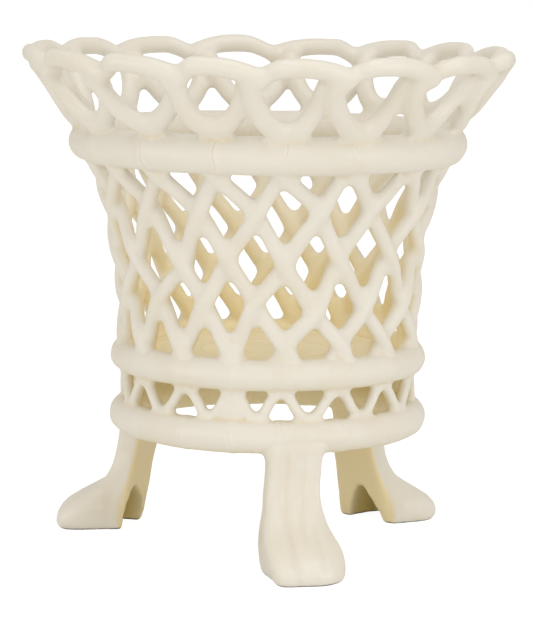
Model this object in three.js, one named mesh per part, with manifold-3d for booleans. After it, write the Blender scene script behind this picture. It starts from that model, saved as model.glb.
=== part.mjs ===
// Footed planter: a bell-shaped wall of woven clay coils between ringed bands, on three paw legs.
// Units are millimetres, +Z is up and z = 0 is the ground under the feet.
// Angles run round the axis from the front, -Y, towards +X. "Down the wall" is the way a strand is read.

import * as THREE from 'three';
import { mergeVertices } from 'three/addons/utils/BufferGeometryUtils.js';
import Module from 'manifold-3d';

const wasm = await Module();
wasm.setup();

// Driving dimensions

const MODULE_COUNT = 16; // repeats of the pattern round the pot
const SEAT_GAP = 0.3; // left between two pieces that are luted together
const PATTERN_TURN = 8; // degrees from the front to the first bamboo node, before it strays

// The pattern is set out by hand, so it strays round the pot in two slow swings and a slight lean.
const TWICE_ROUND_SWING = 2; // degrees
const TWICE_ROUND_START = 68.7; // degrees from the front to where the swing sets in
const THRICE_ROUND_SWING = 1.3;
const THRICE_ROUND_START = -55.9;
const PATTERN_LEAN = 0.4; // degrees that it falls back between the lower and the upper band

const LEG_HEIGHT = 57.5; // ground to the underside of the base ring
const BASE_RING_RADIUS = 72; // to the middle of the coil
const BASE_RING_THICKNESS = 15.7;
const ARCADE_HEIGHT = 15; // clear height between base ring and lower band
const ARCADE_THICKNESS = 6.4;
const LOWER_BAND_RADIUS = 72;
const LOWER_BAND_THICKNESS = 14.8;
const LATTICE_HEIGHT = 91.2; // clear height between the bands
const UPPER_BAND_RADIUS = 90.6;
const UPPER_BAND_THICKNESS = 18.1;
const FLARE_POWER = 2.6; // how late the wall's flare sets in on its way up
const GALLERY_HEIGHT = 34.9; // upper band's top to the middle of the rim's lobes
const RIM_RADIUS = 119.8; // to the middle of the coil at a lobe
const RIM_THICKNESS = 8.4;
const RIM_DIP = 5; // how far the rim is pressed down on to a column
const RIM_RISE_SHARE = 0.28; // share of a lobe, after its dip, in which it rises; it sinks over the rest
const RIM_RISE_POWER = 1.5;
const RIM_SINK_POWER = 2.2;
const RIM_TURN = 3.7; // degrees that the rim's dips stand ahead of the columns
const NODE_SWELL = 0.7; // how far a bamboo node stands proud

const STRAND_WIDTH = 8.6;
const STRAND_THICKNESS = 6;
const STRAND_HALF_ROWS = 4; // crossings down a strand, one to each half module of turn
const TOP_CROSSING_DEPTH = 1.8; // first crossing, above the upper band's underside
const BOTTOM_CROSSING_RISE = 3; // last crossing, above the lower band's top

const LOOP_WIDTH = 7.8;
const LOOP_SINK = 3.6; // how far a loop's foot is pressed on to the upper band
const LOOP_THICKNESS = 6;
const LOOP_ARM_SPREAD = 0.7; // degrees that an arm's end stays short of the middle of its column
const LOOP_FULLNESS = 1.3; // 1 is a half ellipse, more is nearer to a V
const LOOP_SWING_SHARE = 0.75; // share of an arm's reach at which it has swung clear of its neighbour
const LOOP_END_SINK = 1.6; // an arm's end, under the middle of the rim

const FLOOR_THICKNESS = 6;

const FRONT_LEG_TURN = 10.7; // degrees from the front to the middle of the leg's back
const RIGHT_LEG_TURN = 138.5;
const LEFT_LEG_TURN = -115.5;
const LEG_TOP_BACK_RADIUS = 64;
const LEG_TOP_FACE_RADIUS = 80;
const LEG_TOP_WIDTH = 26;
const LEG_LAP = 3.5; // how far the leg reaches up round the base ring
const HEEL_RADIUS = 73;
const CALF_HEIGHT = 43; // where the leg starts to broaden
const ANKLE_WIDTH = 30;
const ANKLE_WAIST_HEIGHT = 34; // where the ankle has that width
const ANKLE_HEIGHT = 37; // where the front face starts to sweep out
const ANKLE_BEND_HEIGHT = 29; // corner that the sweep rounds off
const INSTEP_RADIUS = 92;
const INSTEP_HEIGHT = 24;
const TOE_SHOULDER_HEIGHT = 18; // corner that the toe rounds off
const TOE_RADIUS = 110.5;
const TOE_HEIGHT = 8; // at the toe's furthest reach
const SOLE_RADIUS = 107; // front edge of the sole
const PAW_WIDTH = 43;
const PAW_BROADEST_HEIGHT = 10;
const PAW_SHOULDER_RADIUS = 94; // where the paw's sides turn round to the toe
const TOE_SQUARENESS = 10; // how far the sides run on before they bend
const TOE_BLUNTNESS = 0.62; // share of the half width over which the toe's front stays blunt
const SOLE_WIDTH = 36;
const PAW_WALL = 5;
const PAW_HOLLOW_HEIGHT = 23;
const PAW_HOLLOW_BACK_WIDTH = 25;
const HOLLOW_SHOULDER_SHARE = 0.8; // height of the arch's shoulders over its own height
const SIDE_PAW_BEND = 26; // degrees by which a side leg's paw turns towards the front
const SIDE_PAW_SWAY = 5; // how far a side leg's heel stands nearer to the front than its top
const PAW_BEND_LENGTH = 15; // from the heel outwards, over which the paw bends
const PAW_BEND_TOP = 40; // height from which bend and sway grow on the way down
const PAW_BEND_FULL = 12; // height from which they are full

// Counts of flat faces

const COIL_SIDES = 8;
const BAND_SIDES = 8;
const BAND_STEPS_PER_MODULE = 3;
const RIM_STEPS_PER_MODULE = 6;
const ARCADE_STEPS_PER_MODULE = 6;
const STRAND_STEPS_PER_ROW = 3;
const LOOP_STEPS = 10;
const CURVE_STEPS = 6;

// Small steps of the construction

const SLOPE_STEP = 0.5; // mm up and down the wall between which its slope is taken
const TANGENT_STEP = 1e-4; // radians each way along a coil between which its direction is taken
const WELD_DISTANCE = 1e-4;
const WALK_SLICES = 24; // parts in which a distance along the wall is walked
const CUT_PAST = 2; // how far slabs that only cut run past the piece
const BENT_FACE_LENGTH = 9; // longest edge of a leg's faces before its paw is bent

// Places that follow from the dimensions

const MODULE_ANGLE = (2 * Math.PI) / MODULE_COUNT;
const FIRST_NODE = THREE.MathUtils.degToRad(PATTERN_TURN);

const baseRingHeight = LEG_HEIGHT + BASE_RING_THICKNESS / 2;
const baseRingTop = LEG_HEIGHT + BASE_RING_THICKNESS;
const lowerBandUnderside = baseRingTop + ARCADE_HEIGHT;
const lowerBandHeight = lowerBandUnderside + LOWER_BAND_THICKNESS / 2;
const lowerBandTop = lowerBandUnderside + LOWER_BAND_THICKNESS;
const upperBandUnderside = lowerBandTop + LATTICE_HEIGHT;
const upperBandHeight = upperBandUnderside + UPPER_BAND_THICKNESS / 2;
const upperBandTop = upperBandUnderside + UPPER_BAND_THICKNESS;
const rimHeight = upperBandTop + GALLERY_HEIGHT;
const topCrossingHeight = upperBandUnderside + TOP_CROSSING_DEPTH;
const bottomCrossingHeight = lowerBandTop + BOTTOM_CROSSING_RISE;
const rowHeight = (topCrossingHeight - bottomCrossingHeight) / STRAND_HALF_ROWS;

// Glazed earthenware, a little warmer and duller on the parts in shade

function glaze(colour, roughness) {
  return new THREE.MeshStandardMaterial({ color: colour, roughness, metalness: 0 });
}

const wallGlaze = glaze(0xe6dfcf, 0.34);
const bandGlaze = glaze(0xe9e3d4, 0.3);
const rimGlaze = glaze(0xede8db, 0.28);
const floorGlaze = glaze(0xd9cba6, 0.42);
const legGlaze = glaze(0xe4dccb, 0.36);

// The wall's surface

function pointAt(angle, radius, height) {
  return new THREE.Vector3(radius * Math.sin(angle), -radius * Math.cos(angle), height);
}

// Middle of the wall: a power curve up to the upper band, then a parabola that starts along it.
const bandRise = upperBandHeight - lowerBandHeight;
const bandSpread = UPPER_BAND_RADIUS - LOWER_BAND_RADIUS;
const slopeAtUpperBand = (FLARE_POWER * bandSpread) / bandRise;
const galleryRise = rimHeight - upperBandHeight;
const galleryBend = (RIM_RADIUS - UPPER_BAND_RADIUS - slopeAtUpperBand * galleryRise) / galleryRise ** 2;

function wallRadius(height) {
  const above = height - upperBandHeight;
  if (above > 0) {
    return UPPER_BAND_RADIUS + slopeAtUpperBand * above + galleryBend * above ** 2;
  }
  const share = Math.max(0, (height - lowerBandHeight) / bandRise);
  return LOWER_BAND_RADIUS + bandSpread * share ** FLARE_POWER;
}

function wallSlope(height) {
  return (wallRadius(height + SLOPE_STEP) - wallRadius(height - SLOPE_STEP)) / (2 * SLOPE_STEP);
}

// Unit vector square to the wall, outwards.
function wallNormal(angle, height) {
  return pointAt(angle, 1, -wallSlope(height)).normalize();
}

// Height of the wall point that lies a given distance along the wall from another one.
function heightAlongWall(fromHeight, distance) {
  let height = fromHeight;
  for (let slice = 0; slice < WALK_SLICES; slice += 1) {
    height += distance / WALK_SLICES / Math.hypot(1, wallSlope(height));
  }
  return height;
}

// How far the pattern strays at a place, in radians.
function strayAt(angle, height) {
  const { degToRad } = THREE.MathUtils;
  const twice = TWICE_ROUND_SWING * Math.sin(2 * (angle - degToRad(TWICE_ROUND_START)));
  const thrice = THRICE_ROUND_SWING * Math.sin(3 * (angle - degToRad(THRICE_ROUND_START)));
  const lean = (PATTERN_LEAN * (height - lowerBandHeight)) / bandRise;
  return degToRad(twice + thrice - lean);
}

// Moves a piece that was drawn on the even pattern to where the hand set it.
function handSet(geometry) {
  const place = geometry.attributes.position;
  for (let index = 0; index < place.count; index += 1) {
    const x = place.getX(index);
    const y = place.getY(index);
    const height = place.getZ(index);
    const angle = Math.atan2(x, -y);
    const point = pointAt(angle + strayAt(angle, height), Math.hypot(x, y), height);
    place.setXYZ(index, point.x, point.y, point.z);
  }
  geometry.computeVertexNormals();
  return geometry;
}

// Solids from meshes and back

function toSolid(geometry) {
  const bare = geometry.clone();
  bare.deleteAttribute('normal');
  bare.deleteAttribute('uv');
  const merged = mergeVertices(bare, WELD_DISTANCE);
  const vertProperties = new Float32Array(merged.attributes.position.array);
  const triVerts = new Uint32Array(merged.index.array);
  return new wasm.Manifold(new wasm.Mesh({ numProp: 3, vertProperties, triVerts }));
}

function toGeometry(solid) {
  const mesh = solid.getMesh();
  const geometry = new THREE.BufferGeometry();
  geometry.setAttribute('position', new THREE.BufferAttribute(new Float32Array(mesh.vertProperties), 3));
  geometry.setIndex(new THREE.BufferAttribute(new Uint32Array(mesh.triVerts), 1));
  geometry.computeVertexNormals();
  return geometry;
}

// Coils

// A closed coil: a torus whose points are moved onto a closed middle line.
// line(angle) gives { radius, height, thickness } of the coil at that angle.
function closedCoil(line, sides, steps) {
  const geometry = new THREE.TorusGeometry(1, 0.5, sides, steps);
  const place = geometry.attributes.position;
  const share = geometry.attributes.uv;
  const middle = (angle) => {
    const { radius, height } = line(angle);
    return pointAt(angle, radius, height);
  };
  for (let index = 0; index < place.count; index += 1) {
    const angle = 2 * Math.PI * (share.getX(index) % 1);
    const turn = 2 * Math.PI * (share.getY(index) % 1);
    const along = middle(angle + TANGENT_STEP).sub(middle(angle - TANGENT_STEP)).normalize();
    const outward = pointAt(angle, 1, 0).addScaledVector(along, -pointAt(angle, 1, 0).dot(along)).normalize();
    const upward = outward.clone().cross(along);
    const half = line(angle).thickness / 2;
    const point = middle(angle)
      .addScaledVector(outward, half * Math.cos(turn))
      .addScaledVector(upward, half * Math.sin(turn));
    place.setXYZ(index, point.x, point.y, point.z);
  }
  geometry.computeVertexNormals();
  return geometry;
}

// A coil laid on the wall. place(share) gives { angle, height, offset } from one end to the other,
// where the offset is square to the wall, outwards.
class WallPath extends THREE.Curve {
  constructor(place) {
    super();
    this.place = place;
  }

  getPoint(share) {
    const { angle, height, offset } = this.place(share);
    return pointAt(angle, wallRadius(height), height).addScaledVector(wallNormal(angle, height), offset);
  }

  getPointAt(share) {
    return this.getPoint(share);
  }

  getSpacedPoints(divisions) {
    return this.getPoints(divisions);
  }

  computeFrenetFrames(segments) {
    const frames = { tangents: [], normals: [], binormals: [] };
    for (let index = 0; index <= segments; index += 1) {
      const share = index / segments;
      const { angle, height } = this.place(share);
      const tangent = this.getTangent(share);
      const normal = wallNormal(angle, height);
      normal.addScaledVector(tangent, -normal.dot(tangent)).normalize();
      frames.tangents.push(tangent);
      frames.normals.push(normal);
      frames.binormals.push(tangent.clone().cross(normal));
    }
    return frames;
  }
}

// Section of a coil with a corner facing out of the wall.
function coilSection(thickness, width) {
  const shape = new THREE.Shape();
  for (let side = 0; side < COIL_SIDES; side += 1) {
    const turn = (2 * Math.PI * side) / COIL_SIDES;
    const x = (thickness / 2) * Math.cos(turn);
    const y = (width / 2) * Math.sin(turn);
    if (side === 0) {
      shape.moveTo(x, y);
    } else {
      shape.lineTo(x, y);
    }
  }
  shape.closePath();
  return shape;
}

function laidCoil(place, thickness, width, steps) {
  const extrudePath = new WallPath(place);
  return new THREE.ExtrudeGeometry(coilSection(thickness, width), { steps, extrudePath, curveSegments: 1 });
}

// Bands and rings: round coils with a low swelling at every bamboo node

function bambooRing(radius, height, thickness, extra = 0) {
  const line = (angle) => {
    const turns = (angle - FIRST_NODE) / MODULE_ANGLE;
    const fromNode = Math.abs(turns - Math.round(turns));
    const isNode = fromNode < 0.5 / BAND_STEPS_PER_MODULE;
    return { radius, height, thickness: thickness + 2 * (extra + (isNode ? NODE_SWELL : 0)) };
  };
  // The torus starts on a node, so that its steps meet every node.
  const turned = (angle) => line(angle + FIRST_NODE);
  const geometry = closedCoil(turned, BAND_SIDES, BAND_STEPS_PER_MODULE * MODULE_COUNT);
  return geometry.rotateZ(FIRST_NODE);
}

function baseRing(extra) {
  return bambooRing(BASE_RING_RADIUS, baseRingHeight, BASE_RING_THICKNESS, extra);
}

function lowerBand(extra) {
  return bambooRing(LOWER_BAND_RADIUS, lowerBandHeight, LOWER_BAND_THICKNESS, extra);
}

function upperBand(extra) {
  return bambooRing(UPPER_BAND_RADIUS, upperBandHeight, UPPER_BAND_THICKNESS, extra);
}

// Rim: lobes with a dip between them, which drops down the slope of the wall.
// A lobe springs up from its dip and sinks slowly into the next one.

const firstDip = FIRST_NODE - MODULE_ANGLE / 2 + THREE.MathUtils.degToRad(RIM_TURN);

function rimCoil(extra = 0) {
  const line = (angle) => {
    const share = ((angle / MODULE_ANGLE) % 1 + 1) % 1;
    const rise = Math.max(0, 1 - share / RIM_RISE_SHARE) ** RIM_RISE_POWER;
    const sinking = Math.max(0, (share - RIM_RISE_SHARE) / (1 - RIM_RISE_SHARE)) ** RIM_SINK_POWER;
    const height = rimHeight - RIM_DIP * (rise + sinking);
    return { radius: wallRadius(height), height, thickness: RIM_THICKNESS + 2 * extra };
  };
  return closedCoil(line, COIL_SIDES, RIM_STEPS_PER_MODULE * MODULE_COUNT).rotateZ(firstDip);
}

// Arcade: one coil that waves between the base ring and the lower band, an arch under each node

function arcadeCoil() {
  const low = baseRingTop + SEAT_GAP + ARCADE_THICKNESS / 2;
  const high = lowerBandUnderside - NODE_SWELL - SEAT_GAP - ARCADE_THICKNESS / 2;
  // It stands on the base ring's crest at its low points and meets the lower band's at its high ones.
  const line = (angle) => {
    const share = (1 + Math.cos((angle * 2 * Math.PI) / MODULE_ANGLE)) / 2;
    const radius = BASE_RING_RADIUS + (LOWER_BAND_RADIUS - BASE_RING_RADIUS) * share;
    return { radius, height: low + (high - low) * share, thickness: ARCADE_THICKNESS };
  };
  return closedCoil(line, COIL_SIDES, ARCADE_STEPS_PER_MODULE * MODULE_COUNT).rotateZ(FIRST_NODE);
}

// Lattice: plain weave of strands that turn half a module at every row

// A strand swings out and in by half its thickness, so that two strands just clear each other.
const weaveSwing = (STRAND_THICKNESS + SEAT_GAP) / 2;

// lean is 1 for a strand that turns towards +angle on its way down, -1 for the other way.
function latticeStrand(lean) {
  const spareRows = 1 / STRAND_STEPS_PER_ROW;
  const rows = STRAND_HALF_ROWS + 2 * spareRows;
  const place = (share) => {
    const row = share * rows - spareRows;
    return {
      angle: (lean * row * MODULE_ANGLE) / 2,
      height: topCrossingHeight - row * rowHeight,
      offset: lean * weaveSwing * Math.cos(Math.PI * row),
    };
  };
  const coil = laidCoil(place, STRAND_THICKNESS, STRAND_WIDTH, Math.round(rows * STRAND_STEPS_PER_ROW));
  const turned = coil.rotateZ(FIRST_NODE);
  const seats = toSolid(upperBand(SEAT_GAP)).add(toSolid(lowerBand(SEAT_GAP)));
  return toGeometry(toSolid(turned).subtract(seats));
}

// Gallery: U-shaped loops. A loop's left arm lies outside its neighbour's right arm.

function galleryLoop() {
  const armReach = MODULE_ANGLE / 2 - THREE.MathUtils.degToRad(LOOP_ARM_SPREAD);
  const armSwing = (LOOP_THICKNESS + SEAT_GAP) / 2;
  const seatDistance = UPPER_BAND_THICKNESS / 2 + LOOP_WIDTH / 2 - LOOP_SINK;
  const low = heightAlongWall(upperBandHeight, seatDistance);
  const high = rimHeight - RIM_DIP - LOOP_END_SINK;
  const place = (share) => {
    const turn = Math.PI * (share - 0.5);
    const side = Math.sin(turn);
    const swing = Math.max(-1, Math.min(1, side / LOOP_SWING_SHARE));
    return {
      angle: armReach * side,
      height: high - (high - low) * Math.abs(Math.cos(turn)) ** LOOP_FULLNESS,
      offset: -armSwing * swing,
    };
  };
  const coil = laidCoil(place, LOOP_THICKNESS, LOOP_WIDTH, LOOP_STEPS).rotateZ(FIRST_NODE);
  const seats = toSolid(rimCoil(SEAT_GAP)).add(toSolid(upperBand(SEAT_GAP)));
  return toGeometry(toSolid(coil).subtract(seats));
}

// Floor plate, inside the lower band

function floorPlate() {
  const radius = LOWER_BAND_RADIUS - LOWER_BAND_THICKNESS / 2 - NODE_SWELL - SEAT_GAP;
  const plate = new THREE.CylinderGeometry(radius, radius, FLOOR_THICKNESS, BAND_STEPS_PER_MODULE * MODULE_COUNT);
  return plate.rotateX(Math.PI / 2).rotateZ(FIRST_NODE).translate(0, 0, lowerBandHeight);
}

// Legs, drawn with x outwards, y across and z up

// Stands an outline of (x, z) points across the leg, or of (y, z) points along it.
function acrossLeg(shape, width) {
  const slab = new THREE.ExtrudeGeometry(shape, { depth: width, bevelEnabled: false, curveSegments: CURVE_STEPS });
  return toSolid(slab.rotateX(Math.PI / 2).translate(0, width / 2, 0));
}

function alongLeg(shape, start, end) {
  const options = { depth: end - start, bevelEnabled: false, curveSegments: CURVE_STEPS };
  const slab = new THREE.ExtrudeGeometry(shape, options);
  return toSolid(slab.rotateX(Math.PI / 2).rotateZ(Math.PI / 2).translate(start, 0, 0));
}

const legTop = LEG_HEIGHT + LEG_LAP;

// Front of the leg's side view, from the top down to the sole.
function drawLegFace(shape, inset) {
  const face = LEG_TOP_FACE_RADIUS - inset;
  const reach = TOE_RADIUS - inset;
  shape.lineTo(face, ANKLE_HEIGHT);
  shape.quadraticCurveTo(face, ANKLE_BEND_HEIGHT - inset, INSTEP_RADIUS - inset, INSTEP_HEIGHT - inset);
  shape.quadraticCurveTo(reach, TOE_SHOULDER_HEIGHT - inset, reach, TOE_HEIGHT);
  shape.quadraticCurveTo(reach, TOE_HEIGHT / 3, SOLE_RADIUS - inset, 0);
}

// Side view of the leg.
function legProfile() {
  const shape = new THREE.Shape();
  shape.moveTo(HEEL_RADIUS, 0);
  shape.lineTo(LEG_TOP_BACK_RADIUS, legTop);
  shape.lineTo(LEG_TOP_FACE_RADIUS, legTop);
  drawLegFace(shape, 0);
  shape.closePath();
  return shape;
}

// Side view of the hollow: a wall behind the face, open at the back and underneath.
function hollowProfile() {
  const shape = new THREE.Shape();
  const behind = LEG_TOP_BACK_RADIUS - CUT_PAST;
  shape.moveTo(behind, -CUT_PAST);
  shape.lineTo(behind, legTop);
  shape.lineTo(LEG_TOP_FACE_RADIUS - PAW_WALL, legTop);
  drawLegFace(shape, PAW_WALL);
  shape.lineTo(SOLE_RADIUS - PAW_WALL, -CUT_PAST);
  shape.closePath();
  return shape;
}

// Front view of the leg.
function legFront() {
  const shape = new THREE.Shape();
  const half = LEG_TOP_WIDTH / 2;
  const broad = PAW_WIDTH / 2;
  shape.moveTo(-SOLE_WIDTH / 2, 0);
  shape.lineTo(SOLE_WIDTH / 2, 0);
  shape.quadraticCurveTo(broad, PAW_BROADEST_HEIGHT / 3, broad, PAW_BROADEST_HEIGHT);
  shape.quadraticCurveTo(broad, INSTEP_HEIGHT, ANKLE_WIDTH / 2, ANKLE_WAIST_HEIGHT);
  shape.lineTo(half, CALF_HEIGHT);
  shape.lineTo(half, legTop);
  shape.lineTo(-half, legTop);
  shape.lineTo(-half, CALF_HEIGHT);
  shape.lineTo(-ANKLE_WIDTH / 2, ANKLE_WAIST_HEIGHT);
  shape.quadraticCurveTo(-broad, INSTEP_HEIGHT, -broad, PAW_BROADEST_HEIGHT);
  shape.quadraticCurveTo(-broad, PAW_BROADEST_HEIGHT / 3, -SOLE_WIDTH / 2, 0);
  return shape;
}

// Plan of the leg: straight sides and a round toe.
function legPlan() {
  const shape = new THREE.Shape();
  const broad = PAW_WIDTH / 2 + CUT_PAST / 2;
  const narrow = LEG_TOP_WIDTH / 2 + CUT_PAST / 2;
  const blunt = broad * TOE_BLUNTNESS;
  const heel = LEG_TOP_BACK_RADIUS - CUT_PAST;
  const front = TOE_RADIUS + CUT_PAST / 2;
  const bend = PAW_SHOULDER_RADIUS + TOE_SQUARENESS;
  shape.moveTo(heel, -narrow);
  shape.lineTo(PAW_SHOULDER_RADIUS, -broad);
  shape.bezierCurveTo(bend, -broad, front, -blunt, front, 0);
  shape.bezierCurveTo(front, blunt, bend, broad, PAW_SHOULDER_RADIUS, broad);
  shape.lineTo(heel, narrow);
  shape.closePath();
  return shape;
}

// Arch of the hollow, seen from behind.
function hollowArch() {
  const shape = new THREE.Shape();
  const half = PAW_HOLLOW_BACK_WIDTH / 2;
  const shoulder = PAW_HOLLOW_HEIGHT * HOLLOW_SHOULDER_SHARE;
  shape.moveTo(-half, -CUT_PAST);
  shape.lineTo(half, -CUT_PAST);
  shape.quadraticCurveTo(half, shoulder, 0, PAW_HOLLOW_HEIGHT);
  shape.quadraticCurveTo(-half, shoulder, -half, -CUT_PAST);
  return shape;
}

// Bends the paw sideways round its heel. side is 1 for a bend towards +y, -1 for one towards -y, 0 for none.
function bendPaw(leg, side) {
  const { clamp, degToRad } = THREE.MathUtils;
  return leg.refineToLength(BENT_FACE_LENGTH).warp((point) => {
    const [x, y, z] = point;
    const share = side * clamp((PAW_BEND_TOP - z) / (PAW_BEND_TOP - PAW_BEND_FULL), 0, 1);
    const beyondHeel = Math.max(0, x - HEEL_RADIUS);
    const bending = Math.min(beyondHeel, PAW_BEND_LENGTH);
    const turned = (degToRad(SIDE_PAW_BEND) * share * bending) / PAW_BEND_LENGTH;
    const straight = beyondHeel - bending;
    point[0] = x - beyondHeel + bending * Math.cos(turned / 2) + straight * Math.cos(turned) - y * Math.sin(turned);
    point[1] = SIDE_PAW_SWAY * share + bending * Math.sin(turned / 2) + straight * Math.sin(turned)
      + y * Math.cos(turned);
  });
}

// turn is the leg's place round the pot, in degrees from the front; side is the way its paw bends.
function pawLeg(turn, side) {
  const slab = new THREE.ExtrudeGeometry(legPlan(), {
    depth: legTop + 2 * CUT_PAST,
    bevelEnabled: false,
    curveSegments: CURVE_STEPS,
  });
  const plan = toSolid(slab.translate(0, 0, -CUT_PAST));
  const outside = acrossLeg(legProfile(), PAW_WIDTH + 2 * CUT_PAST)
    .intersect(alongLeg(legFront(), LEG_TOP_BACK_RADIUS - CUT_PAST, TOE_RADIUS + CUT_PAST))
    .intersect(plan);
  const hollow = alongLeg(hollowArch(), LEG_TOP_BACK_RADIUS - 2 * CUT_PAST, SOLE_RADIUS)
    .intersect(acrossLeg(hollowProfile(), PAW_WIDTH));
  const leg = outside.subtract(hollow);
  const bent = toGeometry(side === 0 ? leg : bendPaw(leg, side));
  const turned = bent.rotateZ(THREE.MathUtils.degToRad(turn) - Math.PI / 2);
  return toGeometry(toSolid(turned).subtract(toSolid(handSet(baseRing(SEAT_GAP)))));
}

// Assembly

const planter = new THREE.Group();
planter.name = 'footed_planter';

function addPiece(name, geometry, material) {
  const mesh = new THREE.Mesh(geometry, material);
  mesh.name = name;
  planter.add(mesh);
}

function addRepeats(name, geometry, material) {
  for (let index = 0; index < MODULE_COUNT; index += 1) {
    const number = String(index + 1).padStart(2, '0');
    const turned = geometry.clone().rotateZ(index * MODULE_ANGLE);
    addPiece(`${name}_${number}`, handSet(turned), material);
  }
}

addPiece('base_ring', handSet(baseRing(0)), bandGlaze);
addPiece('arcade_coil', handSet(arcadeCoil()), wallGlaze);
addPiece('lower_band', handSet(lowerBand(0)), bandGlaze);
addPiece('floor_plate', handSet(floorPlate()), floorGlaze);
addPiece('upper_band', handSet(upperBand(0)), bandGlaze);
addPiece('rim_coil', handSet(rimCoil()), rimGlaze);
addRepeats('lattice_strand_right', latticeStrand(1), wallGlaze);
addRepeats('lattice_strand_left', latticeStrand(-1), wallGlaze);
addRepeats('gallery_loop', galleryLoop(), wallGlaze);

addPiece('leg_front', pawLeg(FRONT_LEG_TURN, 0), legGlaze);
addPiece('leg_right', pawLeg(RIGHT_LEG_TURN, -1), legGlaze);
addPiece('leg_left', pawLeg(LEFT_LEG_TURN, 1), legGlaze);

export default planter;
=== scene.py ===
"""Footed planter: hand-laid clay coils under a soft cream glaze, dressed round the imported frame.

Sizes are in millimetres, as on a potter's drawing, and become metres when a piece is finished.
Angles run round the axis from the front, -Y, towards +X.
"""

import logging
import math
from dataclasses import dataclass
from enum import Enum
from typing import Any, Callable, Iterable, Sequence

import bmesh
import bpy
import numpy as np
from mathutils import Matrix, Vector, noise


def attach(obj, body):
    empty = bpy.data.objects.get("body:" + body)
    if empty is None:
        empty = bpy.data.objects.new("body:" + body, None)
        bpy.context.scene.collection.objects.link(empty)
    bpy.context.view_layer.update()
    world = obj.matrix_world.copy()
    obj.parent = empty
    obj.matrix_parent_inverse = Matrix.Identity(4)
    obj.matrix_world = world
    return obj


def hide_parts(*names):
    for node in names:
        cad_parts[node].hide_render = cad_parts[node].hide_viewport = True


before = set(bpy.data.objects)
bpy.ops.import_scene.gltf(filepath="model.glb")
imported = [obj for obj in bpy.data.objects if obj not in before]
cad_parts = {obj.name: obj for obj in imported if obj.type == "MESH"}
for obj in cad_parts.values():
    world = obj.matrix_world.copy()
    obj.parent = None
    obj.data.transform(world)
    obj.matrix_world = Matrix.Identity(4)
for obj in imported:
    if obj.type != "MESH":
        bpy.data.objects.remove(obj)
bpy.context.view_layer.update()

log = logging.getLogger("planter")

MM = 0.001
MODULES = 16
MODULE_DEGREES = 360.0 / MODULES
RING_RADIUS = 72.0
WELD = 2e-6

Row = tuple[float, ...]
Colour = tuple[float, float, float]
Array = np.ndarray
Clay = bmesh.types.BMesh
Mesh = bpy.types.Mesh
Object = bpy.types.Object
Material = bpy.types.Material

WHITE: Colour = (1.0, 1.0, 1.0)


class Slot(Enum):
    """The record's material slots."""

    WALL = "wall_glaze"
    BAND = "band_glaze"
    RIM = "rim_glaze"
    FLOOR = "floor_glaze"
    LEG = "leg_glaze"


# The drawing that all pieces follow


def around(angle: Array, radius: Array, height: Array) -> Array:
    """Returns points at angles (radians from the front towards +X), distances from the axis and heights."""
    angle, radius, height = np.broadcast_arrays(angle, radius, height)
    return np.stack([radius * np.sin(angle), -radius * np.cos(angle), height], axis=-1)


def unit(rows: Array) -> Array:
    """Returns the rows scaled to length one."""
    return rows / np.linalg.norm(rows, axis=-1, keepdims=True)


def ease(share: Array) -> Array:
    """Returns a smooth step from 0 to 1 as the share goes from 0 to 1."""
    share = np.clip(share, 0.0, 1.0)
    return share * share * (3.0 - 2.0 * share)


def signed_degrees(angle: Array) -> Array:
    """Returns angles in radians as degrees from -180 to 180."""
    return (np.degrees(angle) + 180.0) % 360.0 - 180.0


def reads(height: Array, heights: Row, *rows: Row, beyond: float | None = None) -> list[Array]:
    """Interpolates rows of values; beyond is read above the last height in place of the last value."""
    return [np.interp(height, heights, row, right=beyond) for row in rows]


@dataclass(frozen=True)
class Wall:
    """The bell-shaped wall that the coils are laid on."""

    low_radius: float = 72.0
    low_height: float = 95.6
    high_radius: float = 90.6
    high_height: float = 203.25
    rim_radius: float = 119.8
    rim_height: float = 247.2
    flare: float = 2.6

    def radius(self, height: Array) -> Array:
        """Returns the radius of the wall's middle at the given heights."""
        height = np.asarray(height, float)
        rise = self.high_height - self.low_height
        spread = self.high_radius - self.low_radius
        share = np.clip((height - self.low_height) / rise, 0.0, 1.0)
        below = self.low_radius + spread * share**self.flare
        slope = self.flare * spread / rise
        reach = self.rim_height - self.high_height
        bend = (self.rim_radius - self.high_radius - slope * reach) / reach**2
        above = np.maximum(0.0, height - self.high_height)
        return below + slope * above + bend * above**2

    def slope(self, height: Array) -> Array:
        """Returns how fast the radius grows with the height."""
        return self.radius(height + 0.5) - self.radius(height - 0.5)

    def outward(self, angle: Array, height: Array) -> Array:
        """Returns unit vectors square to the wall."""
        return unit(around(angle, 1.0, -self.slope(height)))

    def point(self, angle: Array, height: Array, offset: Array = 0.0) -> Array:
        """Returns points that stand off the wall's middle by the offset."""
        offset = np.broadcast_to(offset, np.shape(angle))
        return around(angle, self.radius(height), height) + self.outward(angle, height) * offset[..., None]


@dataclass(frozen=True)
class Course:
    """One height at which the hand's small departures from the even pattern were read."""

    height: float
    first: float
    strays: Row
    lifts: Row = ()

    def read(self, values: Row, degrees: Array) -> Array:
        """Interpolates values that lie a module apart, fading to none beyond them.

        Args:
            values: Departures at the course's own angles.
            degrees: Even angles to read them at, from -180 to 180.

        Returns:
            One departure for each angle.
        """
        if not values:
            return np.zeros_like(degrees)
        if len(values) == MODULES:
            return np.interp(degrees, self.first + MODULE_DEGREES * np.arange(MODULES), values, period=360.0)
        knots = self.first + MODULE_DEGREES * np.arange(-1, len(values) + 1)
        return np.interp(degrees, knots, (0.0, *values, 0.0))


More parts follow.
